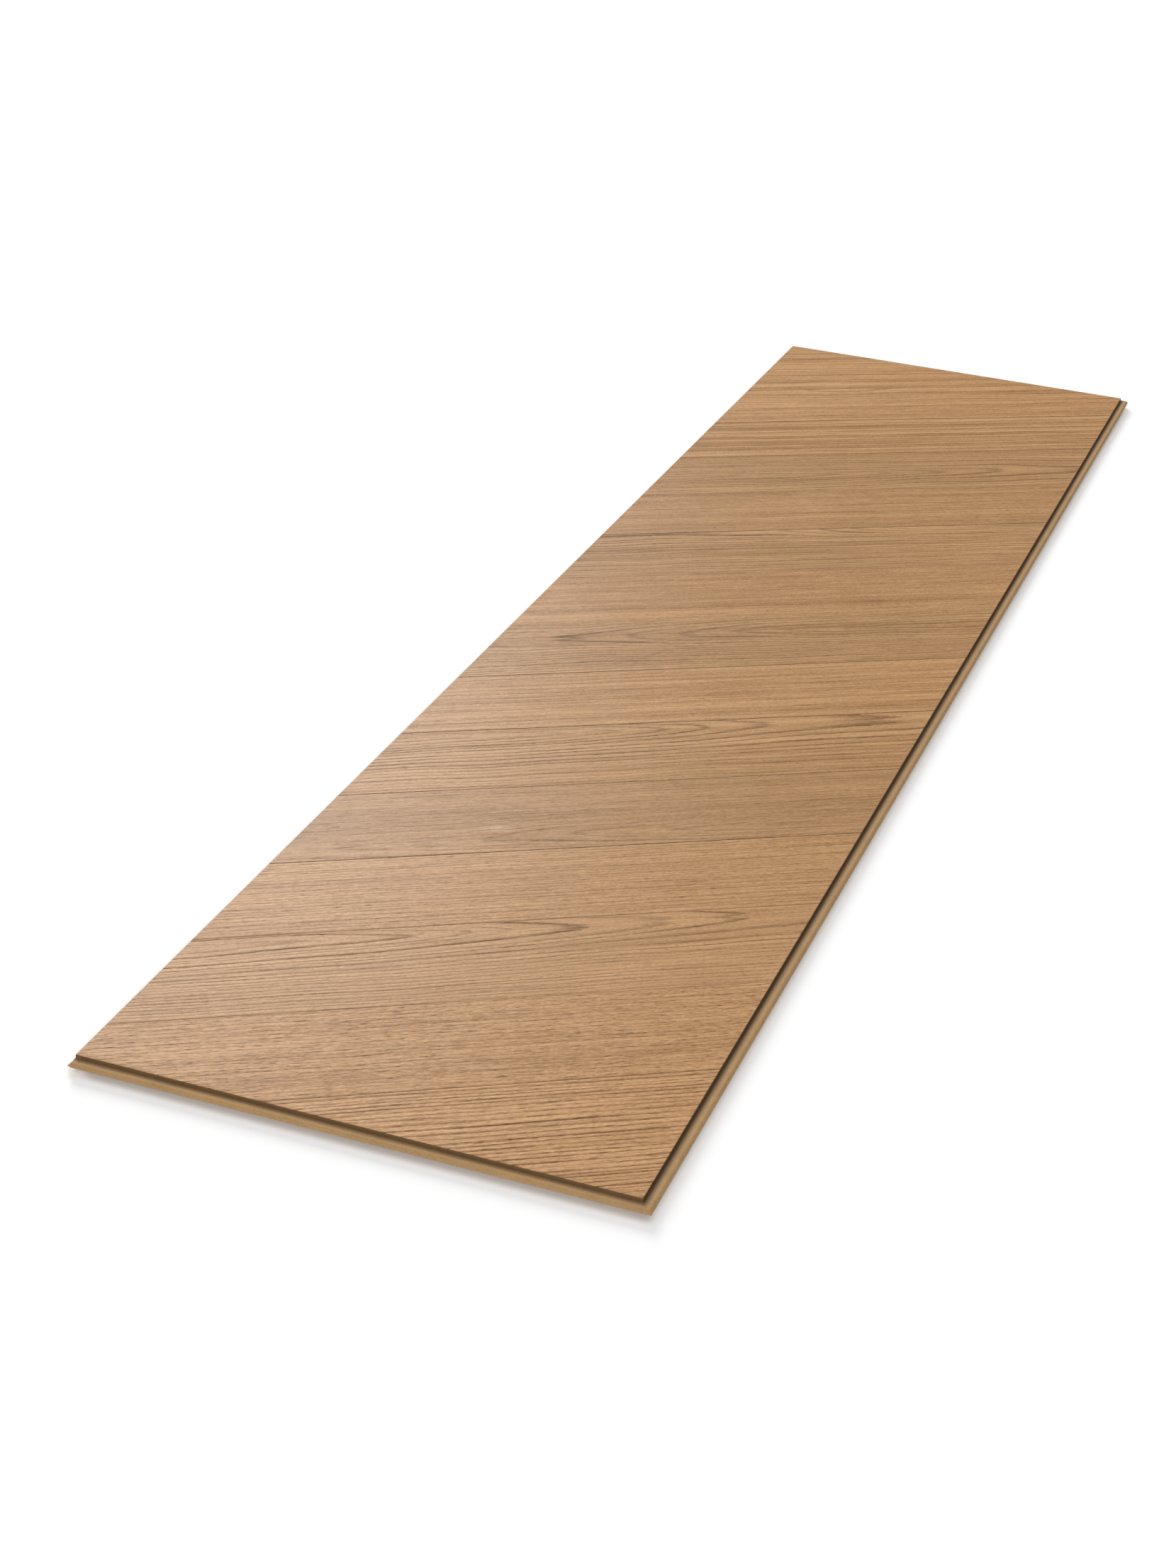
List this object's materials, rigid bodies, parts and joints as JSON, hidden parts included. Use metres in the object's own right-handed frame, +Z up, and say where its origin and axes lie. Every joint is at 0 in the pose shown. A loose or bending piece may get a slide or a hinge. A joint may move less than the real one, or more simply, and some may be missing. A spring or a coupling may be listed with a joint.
{
  "type": "laminate floor plank",
  "caption": "Flat laminate floor plank: fibreboard core with click tongues and grooves on its edges, under a printed oak face of slanting strips.",
  "frame": {"origin": "middle of the plank's bounding box, on its underside", "axes": "+X across the plank towards the long tongue, +Y along it away from the end tongue, +Z up out of the printed face"},
  "size_m": [0.3022, 1.2952, 0.008],
  "materials": {
    "hdf": "milled high-density fibreboard, matt, darker on the sawn steps under the face",
    "oak_decor": "printed oak melamine face with embossed grain, satin"
  },
  "bodies": {
    "root": {"hdf_core": "hdf", "decor_layer": "oak_decor"}
  },
  "joints": []
}
